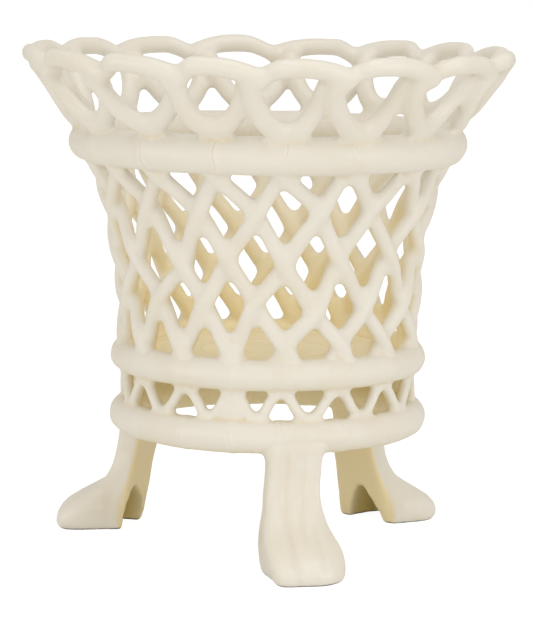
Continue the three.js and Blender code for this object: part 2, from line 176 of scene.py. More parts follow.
@dataclass(frozen=True)
class Hand:
    """How the potter's hand let the even pattern stray, in degrees and millimetres.

    The woven wall's far side strays by back_stray: from back[0] degrees off the front, growing over
    back[1], and between the heights woven[0] and woven[1], fading there over woven[2].
    """

    turn: float = 8.0
    twice_swing: float = 2.0
    twice_start: float = 68.7
    thrice_swing: float = 1.3
    thrice_start: float = -55.9
    lean: float = 0.4
    lean_height: float = 95.6
    lean_rise: float = 107.65
    back_stray: float = 5.8
    back: Row = (95.0, 60.0)
    woven: Row = (86.0, 216.0, 20.0)
    courses: tuple[Course, ...] = (
        Course(65.0, -59.5, ()),
        Course(80.0, -59.5, (0.2, 2.1, 0.6, -1.6, 0.8, -0.4)),
        Course(106.0, -59.5, (0.6, -0.1, 0.1, 0.6, 1.8, -1.1), (0.0, 0.2, -3.0, 3.0, 3.0, 2.2)),
        Course(128.5, -25.75, (-0.7, -1.4, 2.0, 0.5), (0.0, 2.4, -3.0, -1.0)),
        Course(151.0, -37.0, (2.6, -0.5, 0.6), (-3.4, 2.0, -3.0)),
        Course(173.5, -48.25, (1.4, 0.3, 0.3, 2.3, -1.0), (2.0, -0.7, 0.5, 2.4, 3.6)),
        Course(196.0, -37.0, (-3.4, -2.4, -1.2, 0.1, 2.2), (-2.0, -2.6, -2.2, 0.3, -2.6)),
        Course(216.0, -37.0, (-0.1, -0.9, -0.3, 0.8), (1.4, 1.5, -1.6, -1.1)),
        Course(235.0, -25.75, (1.7, -0.6, -0.7, -1.7)),
        Course(
            245.5,
            -171.6,
            (1.7, 0.0, 0.0, 0.0, 0.0, 0.0, -0.7, -0.8, -0.4, 0.2, 0.5, 0.0, 0.0, 0.9, 0.7, 0.5),
            (0.0, -0.6, -0.3, 0.0, 0.0, 0.0, 0.0, 0.0, -0.5, 0.0, -0.3, -0.1, 0.0, 0.0, -0.6, -1.2),
        ),
    )

    def node(self, index: Array) -> Array:
        """Returns the even angle, in radians, of a bamboo node; halves lie between nodes."""
        return np.radians(self.turn + MODULE_DEGREES * np.asarray(index, float))

    def even_stray(self, angle: Array, height: Array) -> Array:
        """Returns the slow stray of the whole pattern, in degrees."""
        twice = self.twice_swing * np.sin(2.0 * (angle - math.radians(self.twice_start)))
        thrice = self.thrice_swing * np.sin(3.0 * (angle - math.radians(self.thrice_start)))
        return twice + thrice - self.lean * (height - self.lean_height) / self.lean_rise

    def _between(self, kind: str, angle: Array, height: Array) -> Array:
        """Interpolates strays or lifts between the courses."""
        degrees = signed_degrees(angle)
        rows = np.stack([course.read(getattr(course, kind), degrees) for course in self.courses])
        heights = np.array([course.height for course in self.courses])
        place = np.interp(height, heights, np.arange(len(heights)))
        low = np.clip(np.floor(place).astype(int), 0, len(heights) - 2)
        share = place - low
        column = np.arange(degrees.size)
        return rows[low, column] * (1.0 - share) + rows[low + 1, column] * share

    def set(self, angle: Array, height: Array) -> tuple[Array, Array]:
        """Moves places of the even pattern to where the hand set them.

        Args:
            angle: Even angles in radians.
            height: Even heights.

        Returns:
            The angles and heights as laid.
        """
        angle = np.atleast_1d(np.asarray(angle, float))
        height = np.broadcast_to(np.asarray(height, float), angle.shape)
        stray = self.even_stray(angle, height) + self._between("strays", angle, height)
        start, reach = self.back
        low, high, fade = self.woven
        woven = ease((height - low) / fade) * ease((high - height) / fade)
        stray = stray + self.back_stray * ease((np.abs(signed_degrees(angle)) - start) / reach) * woven
        return angle + np.radians(stray), height + self._between("lifts", angle, height)


WALL = Wall()
HAND = Hand()


# Clay


def hand_noise(points: Array, size: float) -> Array:
    """Returns smooth noise of about -1 to 1 at points in millimetres; it changes over that size."""
    shift = Vector((17.3, 5.1, 9.7))
    return np.array([noise.noise(Vector(row) / size + shift) for row in points])


def put(name: str, data: Any) -> Object:
    """Makes an object of a mesh, a camera or a lamp and links it to the scene."""
    made = bpy.data.objects.new(name, data)
    bpy.context.scene.collection.objects.link(made)
    return made


def shape_clay(name: str, clay: Clay, outwards: bool = True) -> Object:
    """Makes an object of clay.

    Args:
        name: The object's name.
        clay: Its clay, which is freed.
        outwards: True to turn the faces outwards first.

    Returns:
        The object.
    """
    if outwards:
        bmesh.ops.recalc_face_normals(clay, faces=clay.faces[:])
    mesh = bpy.data.meshes.new(name)
    clay.to_mesh(mesh)
    clay.free()
    return put(name, mesh)


def modify(piece: Object, kind: str, **settings: Any) -> None:
    """Adds a modifier of a kind, with its settings, to the piece."""
    modifier = piece.modifiers.new(kind.lower(), kind)
    for key, value in settings.items():
        setattr(modifier, key, value)


def bake(piece: Object) -> Mesh:
    """Returns a mesh of the piece as its modifiers leave it."""
    return bpy.data.meshes.new_from_object(piece.evaluated_get(bpy.context.evaluated_depsgraph_get()))


def wrap_grid(clay: Clay, steps: int, sides: int, skin: Callable[[Array, Array], Iterable[Any]]) -> None:
    """Wraps a grid round a body.

    Args:
        clay: The mesh that takes it.
        steps: Number of faces along the body.
        sides: Number of faces round it.
        skin: Gives the points, in metres, for the steps and the turns (radians) of the grid's corners.
    """
    made = bmesh.ops.create_grid(clay, x_segments=steps, y_segments=sides, size=0.5)
    place = np.array([vert.co for vert in made["verts"]])
    step = np.rint((place[:, 0] + 0.5) * steps).astype(int)
    turn = 2.0 * np.pi * (np.rint((place[:, 1] + 0.5) * sides) % sides) / sides
    for vert, row in zip(made["verts"], skin(step, turn)):
        vert.co = row
    bmesh.ops.remove_doubles(clay, verts=made["verts"], dist=WELD)


@dataclass
class Coil:
    """A round or oval coil of clay along a middle line."""

    middle: Array
    outward: Array
    thick: Array | float
    wide: Array | float
    closed: bool = False

    def roll(self, clay: Clay, sides: int = 16) -> None:
        """Adds the coil to the clay as a tube with round ends.

        Args:
            clay: The mesh that takes the tube.
            sides: Number of faces round the coil.
        """
        count = len(self.middle)
        thick, wide = (np.broadcast_to(half, count) for half in (self.thick, self.wide))
        if self.closed:
            along = np.roll(self.middle, -1, axis=0) - np.roll(self.middle, 1, axis=0)
        else:
            along = np.gradient(self.middle, axis=0)
        along = unit(along)
        outward = unit(self.outward - along * np.sum(self.outward * along, axis=1, keepdims=True))
        across = np.cross(along, outward)

        def skin(step: Array, turn: Array) -> Array:
            """Returns the tube's points in metres."""
            step = step % count
            point = self.middle[step] + outward[step] * (thick[step] * np.cos(turn))[:, None]
            return (point + across[step] * (wide[step] * np.sin(turn))[:, None]) * MM

        wrap_grid(clay, count if self.closed else count - 1, sides, skin)


def round_ends(middle: Array, half: Array, reach: Sequence[float]) -> Array:
    """Draws a coil's half size in to nothing at its two ends, as a thumb rounds them.

    Args:
        middle: The coil's middle line.
        half: Half the coil's size along it.
        reach: Lengths over which the first and the last end are rounded.

    Returns:
        The half sizes with round ends.
    """
    length = np.concatenate([[0.0], np.cumsum(np.linalg.norm(np.diff(middle, axis=0), axis=1))])
    first = np.clip(length / reach[0], 0.0, 1.0)
    last = np.clip((length[-1] - length) / reach[1], 0.0, 1.0)
    dome = np.sqrt(1.0 - (1.0 - first) ** 2) * np.sqrt(1.0 - (1.0 - last) ** 2)
    return half * dome


def wall_coil(
    angle: Array, height: Array, offset: Array, halves: Sequence[Array | float], ends: Sequence[float]
) -> Coil:
    """Lays a coil on the wall along even places.

    Args:
        angle: Even angles in radians.
        height: Even heights.
        offset: Distances off the wall's middle, outwards.
        halves: Half sizes square to the wall and along it.
        ends: Lengths over which its two ends are rounded.

    Returns:
        The coil as the hand laid it.
    """
    angle, height = HAND.set(angle, height)
    middle = WALL.point(angle, height, offset)
    thick, wide = (round_ends(middle, half, ends) for half in halves)
    return Coil(middle, WALL.outward(angle, height), thick, wide)


@dataclass(frozen=True)
class Ring:
    """A round ring about the axis, used as a core that coils are luted to."""

    radius: float
    height: float
    thickness: float

    def core(self, clay: Clay, inset: float, steps: int = 180, sides: int = 28) -> None:
        """Adds a plain ring, thinner by the inset all round, to the clay."""
        angle = 2.0 * np.pi * np.arange(steps) / steps
        middle = around(angle, self.radius, self.height)
        half = self.thickness / 2.0 - inset
        Coil(middle, around(angle, 1.0, 0.0), half, half, closed=True).roll(clay, sides)

    def depth(self, points: Array) -> Array:
        """Returns how deep points in millimetres lie under the ring's skin."""
        out = np.hypot(points[:, 0], points[:, 1]) - self.radius
        return self.thickness / 2.0 - np.hypot(out, points[:, 2] - self.height)


BASE_RING = Ring(RING_RADIUS, 65.35, 15.7)
LOWER_BAND = Ring(RING_RADIUS, 95.6, 14.8)
UPPER_BAND = Ring(90.6, 203.25, 18.1)


@dataclass(frozen=True)
class Workshop:
    """Turns loose coils into one luted, smoothed and dressed piece of clay."""

    voxel: float = 1.1
    slip: float = 2.0
    softening: int = 5
    gain: float = 0.28
    dent: float = 0.3
    dent_size: float = 14.0
    dent_fade: float = 3.0
    core_inset: float = 0.3
    seam_depth: float = 0.04

    def make(
        self,
        name: str,
        coils: Sequence[Coil],
        rings: Sequence[Ring],
        glaze: Material,
        nodes: Sequence[str],
    ) -> None:
        """Makes a whole piece of coils and puts it in its place.

        Args:
            name: The piece's name.
            coils: Its coils.
            rings: Rings that the coils are luted to.
            glaze: Its material.
            nodes: The frame's nodes that the piece stands for.
        """
        clay = bmesh.new()
        for coil in coils:
            coil.roll(clay)
        piece = self.lute(name, clay, rings)
        dress_mesh(piece)
        self.trim(piece, rings)
        place_piece(piece, glaze, nodes)

    def lute(self, name: str, clay: Clay, rings: Sequence[Ring]) -> Object:
        """Joins coils and rings, fills their creases with slip and smooths them.

        The creases are filled by swelling the joined coils, joining them again and shrinking back.

        Args:
            name: The piece's name.
            clay: Coils that overlap where they are luted. It is freed.
            rings: Rings that the coils are luted to.

        Returns:
            The piece, still with the rings' skins.
        """
        for ring in rings:
            ring.core(clay, self.core_inset)
        piece = shape_clay(name, clay)
        for swelling in (0.0, self.slip, self.gain - self.slip):
            if swelling:
                modify(piece, "DISPLACE", mid_level=0.0, strength=swelling * MM)
            modify(piece, "REMESH", mode="VOXEL", voxel_size=self.voxel * MM, use_smooth_shade=True)
        settled = bake(piece)
        piece.modifiers.clear()
        piece.data = settled
        self._soften(piece, rings)
        return piece

    def _soften(self, piece: Object, rings: Sequence[Ring]) -> None:
        """Smooths the settled clay and presses soft dents in it, but none beside the rings."""
        clay = bmesh.new()
        clay.from_mesh(piece.data)
        for _ in range(self.softening):
            bmesh.ops.smooth_vert(
                clay, verts=clay.verts[:], factor=0.5, use_axis_x=True, use_axis_y=True, use_axis_z=True
            )
        clay.normal_update()
        points = points_of(clay)
        push = hand_noise(points, self.dent_size) * self.dent
        for ring in rings:
            push = push * ease(-ring.depth(points) / self.dent_fade)
        for vert, distance in zip(clay.verts, push):
            vert.co += vert.normal * (distance * MM)
        clay.to_mesh(piece.data)
        clay.free()

    def trim(self, piece: Object, rings: Sequence[Ring]) -> None:
        """Cuts away what lies inside the rings, which are pieces of their own, and closes the rest.

        Args:
            piece: A luted and dressed piece.
            rings: The rings that it was luted to.
        """
        clay = bmesh.new()
        clay.from_mesh(piece.data)
        points = points_of(clay)
        deep = np.max([ring.depth(points) for ring in rings], axis=0) > self.seam_depth
        clay.verts.index_update()
        lost = [face for face in clay.faces if all(deep[vert.index] for vert in face.verts)]
        bmesh.ops.delete(clay, geom=lost, context="FACES")
        rest = [vert for vert in clay.verts if not vert.link_faces]
        bmesh.ops.delete(clay, geom=rest, context="VERTS")
        edges = [edge for edge in clay.edges if edge.is_boundary]
        for edge in edges:
            edge.smooth = False
        bmesh.ops.holes_fill(clay, edges=edges, sides=0)
        bmesh.ops.recalc_face_normals(clay, faces=clay.faces[:])
        clay.to_mesh(piece.data)
        clay.free()


def points_of(clay: Clay) -> Array:
    """Returns the clay's points in millimetres."""
    return np.array([vert.co for vert in clay.verts]) / MM


def read_skin(mesh: Mesh) -> tuple[Array, Array]:
    """Returns the points, in millimetres, and the normals of a mesh."""
    count = len(mesh.vertices)
    points, normals = np.empty(count * 3), np.empty(count * 3)
    mesh.vertices.foreach_get("co", points)
    mesh.vertex_normals.foreach_get("vector", normals)
    return points.reshape(-1, 3) / MM, normals.reshape(-1, 3)


def write_points(mesh: Mesh, points: Array) -> None:
    """Moves a mesh's vertices to points in millimetres."""
    mesh.vertices.foreach_set("co", (points * MM).ravel())
    mesh.update()


def crease_of(mesh: Mesh, rounds: int = 5, gain: float = 6.0) -> Array:
    """Measures how hollow a mesh is round each vertex.

    Args:
        mesh: A finished mesh in metres.
        rounds: How often the measure is spread to the neighbours.
        gain: Scales the measure, a bend per millimetre.

    Returns:
        About -1 on sharp ridges, 0 on the flat and 1 in creases.
    """
    points, normals = read_skin(mesh)
    ends = np.empty(len(mesh.edges) * 2, int)
    mesh.edges.foreach_get("vertices", ends)
    first, second = ends[0::2], ends[1::2]

    def gather(at_first: Array, at_second: Array) -> Array:
        """Sums at each vertex what its edges bring to it."""
        return np.bincount(first, at_first, len(points)) + np.bincount(second, at_second, len(points))

    gap = points[second] - points[first]
    length = np.maximum(np.linalg.norm(gap, axis=1), 1e-4)
    bends = [np.sum(gap * normals[end], axis=1) / length**2 for end in (first, second)]
    reach = np.maximum(gather(np.ones(len(gap)), np.ones(len(gap))), 1.0)
    bend = gather(bends[0], -bends[1]) / reach
    for _ in range(rounds):
        bend = 0.5 * bend + 0.5 * gather(bend[second], bend[first]) / reach
    return np.clip(bend * gain, -1.0, 1.0)


def inner_painted_shade(points: Array, normals: Array) -> Array:
    """Says how much warm shade is painted on the glaze as a straw tint: inside the pot, near the floor and
    below it, on faces turned inwards or down.

    Args:
        points: Rows of x, y, z in millimetres.
        normals: Their outward unit vectors.

    Returns:
        0 for cream, 0.5 for painted warm shade and 1 for deep painted shade.
    """
    radial = unit(points * (1.0, 1.0, 0.0))
    inward = -np.sum(normals * radial, axis=1)
    # Painted shade: a straw tint on inward faces, undersides and low parts, where the pot shades itself.
    low = ease((150.0 - points[:, 2]) / 50.0)
    middle = ease((215.0 - points[:, 2]) / 60.0)
    flank = 0.16 * ease((inward + 0.85) / 0.85)
    under = 0.14 * ease(-normals[:, 2])
    return middle * (flank + under) + (0.14 * middle + 0.2 * low) * ease((inward + 0.1) / 0.8)


def dress_mesh(piece: Object, painted_shade: Callable[[Array, Array], Array] = inner_painted_shade) -> None:
    """Shades the piece smooth and writes the attributes that its glaze reads.

    Args:
        piece: The piece.
        painted_shade: Gives the painted warm shade of its points.
    """
    mesh = piece.data
    mesh.polygons.foreach_set("use_smooth", np.ones(len(mesh.polygons), bool))
    mesh.update()
    # crease_depth drives pooled glaze with painted crease shade and a painted ridge highlight;
    # painted_shade_depth drives the painted warm shade.
    for name, values in (("crease_depth", crease_of(mesh)), ("painted_shade_depth", painted_shade(*read_skin(mesh)))):
        written = mesh.attributes.get(name) or mesh.attributes.new(name, "FLOAT", "POINT")
        written.data.foreach_set("value", values.astype(np.float32))


# Glazes


def operator(operation: str, reflected: bool = False) -> Callable[["Value", Any], "Value"]:
    """Returns the method that an operator of Value calls.

    Args:
        operation: The Math node's operation.
        reflected: True where the value stands on the right.

    Returns:
        The method.
    """

    def method(value: "Value", other: Any) -> "Value":
        """Returns the operation's result on the value and the other operand."""
        return value.maths(operation, *((other, value) if reflected else (value, other)))

    return method


class Value:
    """A shader socket that can be used in Python expressions."""

    def __init__(self, tree: bpy.types.NodeTree, socket: bpy.types.NodeSocket) -> None:
        """Keeps the socket and the tree that it belongs to."""
        self.tree = tree
        self.socket = socket

    def maths(self, operation: str, *operands: Any, clamp: bool = False) -> "Value":
        """Adds a Math node.

        Args:
            operation: The node's operation.
            operands: Its operands, values or numbers.
            clamp: True to hold the result between 0 and 1.

        Returns:
            The node's result.
        """
        node = self.tree.nodes.new("ShaderNodeMath")
        node.operation = operation
        node.use_clamp = clamp
        for place, operand in zip(node.inputs, operands):
            if isinstance(operand, Value):
                self.tree.links.new(operand.socket, place)
            else:
                place.default_value = operand
        return Value(self.tree, node.outputs[0])

    __add__, __radd__ = operator("ADD"), operator("ADD", reflected=True)
    __sub__, __rsub__ = operator("SUBTRACT"), operator("SUBTRACT", reflected=True)
    __mul__, __rmul__ = operator("MULTIPLY"), operator("MULTIPLY", reflected=True)
    larger = operator("MAXIMUM")

    def held(self) -> "Value":
        """Returns the value held between 0 and 1."""
        return self.maths("MULTIPLY", self, 1.0, clamp=True)

    def root(self) -> "Value":
        """Returns the square root."""
        return self.maths("SQRT", self)


class Kiln:
    """Builds one material, or the world, node by node."""

    def __init__(self, owner: Any) -> None:
        """Starts the empty node tree of a new material or world."""
        owner.use_nodes = True
        self.owner = owner
        self.tree = owner.node_tree
        self.tree.nodes.clear()

    def node(self, kind: str, sockets: dict | None = None, **settings: Any) -> bpy.types.Node:
        """Adds a node.

        Args:
            kind: The node's type.
            sockets: Values or links of the node's inputs, by name or place.
            settings: The node's properties, set first.

        Returns:
            The new node.
        """
        made = self.tree.nodes.new(kind)
        for key, value in settings.items():
            setattr(made, key, value)
        for key, value in (sockets or {}).items():
            if isinstance(value, Value):
                self.tree.links.new(value.socket, made.inputs[key])
            else:
                made.inputs[key].default_value = value
        return made

    def out(self, made: bpy.types.Node, name: str | int = 0) -> Value:
        """Returns one of a node's outputs as a value."""
        return Value(self.tree, made.outputs[name])

    def mix(self, low: Any, high: Any, factor: Any) -> Value:
        """Returns the colour between low and high at the factor."""
        low, high = (
            (*colour, 1.0) if isinstance(colour, tuple) and len(colour) == 3 else colour
            for colour in (low, high)
        )
        made = self.node("ShaderNodeMix", {"Factor": factor, 6: low, 7: high}, data_type="RGBA")
        return self.out(made, 2)

    def ramp(self, factor: Value, low: float, high: float) -> Value:
        """Returns 0 to 1, smoothly, as the factor goes from low to high."""
        sockets = {"Value": factor, "From Min": low, "From Max": high}
        return self.out(self.node("ShaderNodeMapRange", sockets, interpolation_type="SMOOTHSTEP"))

    def noise(self, place: Value, size: float, detail: float = 2.0, roughness: float = 0.5) -> Value:
        """Returns noise of 0 to 1 whose patches are about size millimetres wide."""
        sockets = {"Vector": place, "Scale": 1.0 / (size * MM), "Detail": detail, "Roughness": roughness}
        return self.out(self.node("ShaderNodeTexNoise", sockets), "Fac")


@dataclass(frozen=True)
class Glaze:
    """A thick cream glaze that pools to a straw colour in creases, partly as painted shade, and thins to
    white on ridges, partly as a painted highlight; warm shade is also painted on it inside the pot,
    underneath and on the legs.
    """

    name: str
    cream: Colour = (0.815, 0.787, 0.72)
    shade: Colour = (0.79, 0.735, 0.63)
    # Pooled glaze in creases, its straw colour partly painted shade.
    pooled_glaze_and_shade: Colour = (0.72, 0.60, 0.36)
    # Thinner glaze on ridges, its paler colour partly a painted highlight.
    thin_glaze_and_highlight: Colour = (0.86, 0.845, 0.80)
    # Painted warm shade, laid by the painted_shade_depth attribute inside the pot, under parts and on the
    # legs' backs and hollows.
    painted_warm_shade: Colour = (0.90, 0.79, 0.52)
    painted_deep_warm_shade: Colour = (0.95, 0.79, 0.36)
    speck: Colour = (0.30, 0.26, 0.20)
    bare_clay: Colour = (0.20, 0.165, 0.13)
    roughness: float = 0.42
    coat: float = 0.1
    # How strongly creases take pooled glaze and painted shade.
    pooling_and_shade: float = 1.0
    bare_below: float | None = None
    brushed: bool = False

    def fire(self) -> Material:
        """Returns the glaze as a material."""
        kiln = Kiln(bpy.data.materials.new(self.name))
        place = kiln.out(kiln.node("ShaderNodeTexCoord"), "Object")
        axes = kiln.node("ShaderNodeSeparateXYZ", {"Vector": place})
        x, y, z = (kiln.out(axes, axis) for axis in ("X", "Y", "Z"))
        crease, painted_shade = (
            kiln.out(kiln.node("ShaderNodeAttribute", attribute_name=name), "Fac")
            for name in ("crease_depth", "painted_shade_depth")
        )
        clouds = kiln.noise(place, 34.0, 3.0, 0.55)
        flecks = kiln.noise(place, 4.2, 3.0, 0.6)
        colour = kiln.mix(self.cream, self.shade, kiln.ramp(clouds + flecks * 0.25, 0.52, 0.86) * 0.6)
        # Ridges lighten: thinner glaze and a painted highlight.
        colour = kiln.mix(colour, self.thin_glaze_and_highlight, kiln.ramp(0.0 - crease, 0.25, 0.9) * 0.5)
        # Creases darken to the pooled colour: thicker glaze and painted crease shade.
        pool_and_shade = kiln.ramp(crease + (flecks - 0.5) * 0.12, 0.02, 0.55) * self.pooling_and_shade
        colour = kiln.mix(colour, self.pooled_glaze_and_shade, pool_and_shade.held() * 0.6)
        # Painted warm shade, deeper in the legs' hollows.
        colour = kiln.mix(colour, self.painted_warm_shade, kiln.ramp(painted_shade + (clouds - 0.5) * 0.08, 0.02, 0.5))
        colour = kiln.mix(colour, self.painted_deep_warm_shade, kiln.ramp(painted_shade, 0.5, 1.0))

        if self.brushed:
            rings = (x * x + y * y).root()
            circles = kiln.node("ShaderNodeCombineXYZ", {"X": rings, "Y": clouds * 0.004, "Z": z})
            strokes = kiln.noise(kiln.out(circles), 3.4, 4.0, 0.7)
            colour = kiln.mix(colour, self.pooled_glaze_and_shade, kiln.ramp(strokes, 0.4, 0.75) * 0.45)

        specks = kiln.node("ShaderNodeTexVoronoi", {"Vector": place, "Scale": 1.0 / (9.0 * MM)})
        chance = kiln.node("ShaderNodeSeparateColor", {"Color": kiln.out(specks, "Color")})
        rare = kiln.ramp(kiln.out(chance), 0.93, 0.94)
        dots = (1.0 - kiln.ramp(kiln.out(specks, "Distance"), 0.025, 0.05)) * rare
        colour = kiln.mix(colour, self.speck, dots * 0.7)

        roughness = self.roughness + (kiln.noise(place, 16.0) - 0.5) * 0.14
        coat = self.coat + (clouds - 0.5) * 0.1
        if self.bare_below is not None:
            edge = z + (flecks - 0.5) * (1.4 * MM)
            bare = 1.0 - kiln.ramp(edge, (self.bare_below - 0.25) * MM, (self.bare_below + 0.25) * MM)
            colour = kiln.mix(colour, self.bare_clay, bare)
            roughness = roughness + bare * 0.45
            coat = coat * (1.0 - bare)

        skin = kiln.noise(place, 2.6, 3.0, 0.5) * 0.5 + kiln.noise(place, 9.0, 2.0, 0.5)
        height = skin - dots * 1.2
        bump = kiln.node("ShaderNodeBump", {"Strength": 0.35, "Distance": 0.12 * MM, "Height": height})
        sockets = {
            "Base Color": colour,
            "Roughness": roughness,
            "IOR": 1.5,
            "Coat Weight": coat,
            "Coat Roughness": 0.12,
            "Normal": kiln.out(bump, "Normal"),
        }
        surface = kiln.node("ShaderNodeBsdfPrincipled", sockets)
        kiln.node("ShaderNodeOutputMaterial", {"Surface": kiln.out(surface, "BSDF")})
        return kiln.owner


# Sub-assemblies


def settle(piece: Object, slide: float = 1.3, low: float = 34.0, high: float = 180.0) -> None:
    """Slides what stands about the two low rings to the right, as the kiln's heat let it settle.

    Args:
        piece: A finished piece.
        slide: Distance in millimetres at the low rings.
        low: Height up to which nothing slides.
        high: Height from which nothing slides.
    """
    points, _ = read_skin(piece.data)
    heights = points[:, 2]
    points[:, 0] += slide * ease((heights - low) / 18.0) * ease((high - heights) / 75.0)
    write_points(piece.data, points)


def place_piece(piece: Object, glaze: Material, nodes: Sequence[str]) -> None:
    """Settles and glazes a piece and says where it belongs.

    Args:
        piece: The finished piece.
        glaze: Its material.
        nodes: The frame's nodes that the piece stands for.
    """
    settle(piece)
    piece.data.materials.clear()
    piece.data.materials.append(glaze)
    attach(piece, "root")
    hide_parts(*nodes)
    log.info("%s stands for %d nodes, %d faces", piece.name, len(nodes), len(piece.data.polygons))


@dataclass(frozen=True)
class BambooBand:
    """A fat ring with swollen, incised nodes like a bamboo cane's."""

    name: str
    ring: Ring
    node_strays: Row = ()
    first_node: int = -3
    swell: float = 0.7
    groove: float = 0.42
    lip_half: float = 4.2
    groove_half: float = 0.75
    steps_per_module: int = 44
    sides: int = 40
    crowding: float = 0.16

    def build(self, glaze: Material) -> None:
        """Turns, marks and glazes the band."""
        clay = bmesh.new()
        self.ring.core(clay, 0.0, self.steps_per_module * MODULES, self.sides)
        for vert in clay.verts:
            vert.co = self._mark(vert.co / MM) * MM
        piece = shape_clay(self.name + "_marked", clay)
        dress_mesh(piece)
        place_piece(piece, glaze, [self.name])

    def _mark(self, point: Vector) -> Vector:
        """Moves a point of the plain ring on to the marked one.

        Args:
            point: A point of the plain ring in millimetres.

        Returns:
            The point with the node's swelling, its incised line and the hand's dents.
        """
        angle = math.atan2(point.x, -point.y)
        turns = math.degrees(angle) / MODULE_DEGREES
        index = round(turns)
        near = 2.0 * (turns - index)
        spread = self.crowding * near + (1.0 - self.crowding) * near**3
        radius = math.hypot(point.x, point.y) - self.ring.radius
        height = point.z - self.ring.height
        section = math.atan2(height, radius)
        half = math.hypot(height, radius)
        reach = math.radians(MODULE_DEGREES / 2.0) * (self.ring.radius + half) * spread
        wander = 0.9 * math.sin(1.7 * section + 1.7 * index) + 0.4 * math.sin(4.1 * section + 2.9 * index)
        off = reach - wander
        depth = self.groove * (0.6 + 0.4 * math.sin(5.3 * index + 1.9 * section))
        lip = math.exp(-((off / self.lip_half) ** 2)) * self.swell
        cut = math.exp(-((off / self.groove_half) ** 2)) * depth
        second = 2.6 + 0.5 * math.sin(3.1 * section + index)
        cut += math.exp(-(((off - second) / self.groove_half) ** 2)) * depth * 0.7 * (index % 3 == 1)
        even = math.radians(HAND.turn + MODULE_DEGREES * (index + spread / 2.0))
        slot = index - self.first_node
        stray = float(HAND.even_stray(np.array([even]), np.array([self.ring.height]))[0])
        if 0 <= slot < len(self.node_strays):
            stray += self.node_strays[slot] * math.exp(-((spread / 0.6) ** 2))
        turned = even + math.radians(stray)

        def spot(out: float, up: float) -> Vector:
            """Returns the point at the turned angle."""
            return Vector((out * math.sin(turned), -out * math.cos(turned), up))

        here = spot(self.ring.radius, self.ring.height)
        dent = (noise.noise(here / 23.0 + Vector((section, 2.0, 1.0))) + 0.6) * 0.35
        size = half + max(lip, dent) - cut
        return spot(self.ring.radius + size * math.cos(section), self.ring.height + size * math.sin(section))


@dataclass(frozen=True)
class Lattice:
    """The woven wall: coils that lean right and left and pass over and under each other."""

    top: float = 196.0
    bottom: float = 106.0
    rows: int = 4
    steps_per_row: int = 12
    spare: float = 0.55
    half_thick: float = 3.45
    half_wide: float = 4.05
    swing: float = 1.65
    ends: Row = (4.0, 4.0)

    def strand(self, lean: int, index: int) -> Coil:
        """Returns one strand; lean 1 turns towards +angle on its way down."""
        count = round((self.rows + 2 * self.spare) * self.steps_per_row)
        row = np.linspace(-self.spare, self.rows + self.spare, count)
        row_height = (self.top - self.bottom) / self.rows
        angle = HAND.node(index + lean * row / 2.0)
        offset = lean * self.swing * np.cos(np.pi * row)
        wobble = np.sin(1.9 * row + 2.4 * index + lean) * 0.05
        halves = (self.half_thick * (1.0 + wobble), self.half_wide * (1.0 - wobble))
        return wall_coil(angle, self.top - row * row_height, offset, halves, self.ends)

    def build(self, glaze: Material, workshop: Workshop) -> None:
        """Makes the whole lattice, luted and glazed."""
        coils, nodes = [], []
        for lean, side in ((1, "right"), (-1, "left")):
            for index in range(MODULES):
                coils.append(self.strand(lean, index))
                nodes.append(f"lattice_strand_{side}_{index + 1:02d}")
        workshop.make("woven_lattice", coils, (LOWER_BAND, UPPER_BAND), glaze, nodes)


@dataclass(frozen=True)
class Gallery:
    """U-shaped loops on the upper band and the lobed rim coil that they carry."""

    loop_low: float = 215.6
    loop_high: float = 241.0
    fullness: float = 1.05
    arm_spread: float = 0.8
    arm_swing: float = 2.3
    swing_share: float = 0.75
    half_thick: float = 3.9
    half_wide: float = 4.9
    foot_gain: float = 0.6
    loop_ends: Row = (3.0, 3.0)
    lobe_thick: float = 4.4
    lobe_wide: float = 4.7
    lobe_low: float = 0.75
    lobe_back: float = 0.4
    lobe_tuck: float = 1.8
    lobe_ends: Row = (4.0, 4.5)
    rim_turn: float = 3.7
    dip: float = 7.2
    rise_share: float = 0.27

    def loop(self, index: int) -> Coil:
        """Returns one loop, from its left arm's end to its right arm's end."""
        share = np.linspace(-0.02, 1.02, 54)
        turn = np.pi * (share - 0.5)
        side = np.sin(turn)
        reach = MODULE_DEGREES / 2.0 - self.arm_spread
        angle = HAND.node(index) + np.radians(reach * side)
        height = self.loop_high - (self.loop_high - self.loop_low) * np.abs(np.cos(turn)) ** self.fullness
        offset = -self.arm_swing * np.clip(side / self.swing_share, -1.0, 1.0)
        wide = self.half_wide + self.foot_gain * np.cos(turn) ** 4
        return wall_coil(angle, height, offset, (self.half_thick, wide), self.loop_ends)

    def lobe(self, index: int) -> Coil:
        """Returns one lobe of the rim, from behind the last one's end to its own drooping end."""
        share = np.linspace(-0.05, 1.07, 46)
        start = np.degrees(HAND.node(index - 0.5)) + self.rim_turn
        angle = np.radians(start + MODULE_DEGREES * share)
        rise = 1.0 - ease((share + 0.05) / (self.rise_share + 0.05))
        sink = np.clip((share - 0.42) / 0.62, 0.0, 1.2) ** 2.1
        height = WALL.rim_height - self.lobe_low - self.dip * (0.85 * rise + 0.9 * sink)
        offset = -self.lobe_back - self.lobe_tuck * rise + self.lobe_tuck * sink
        thick = self.lobe_thick * (1.0 - 0.15 * rise + 0.08 * sink)
        wide = self.lobe_wide * (1.0 - 0.15 * rise + 0.22 * sink)
        return wall_coil(angle, height, offset, (thick, wide), self.lobe_ends)

    def build(self, glaze: Material, workshop: Workshop) -> None:
        """Makes the gallery and rim, luted and glazed."""
        coils = [coil for index in range(MODULES) for coil in (self.loop(index), self.lobe(index))]
        nodes = [f"gallery_loop_{index + 1:02d}" for index in range(MODULES)]
        workshop.make("gallery_and_rim", coils, (UPPER_BAND,), glaze, [*nodes, "rim_coil"])


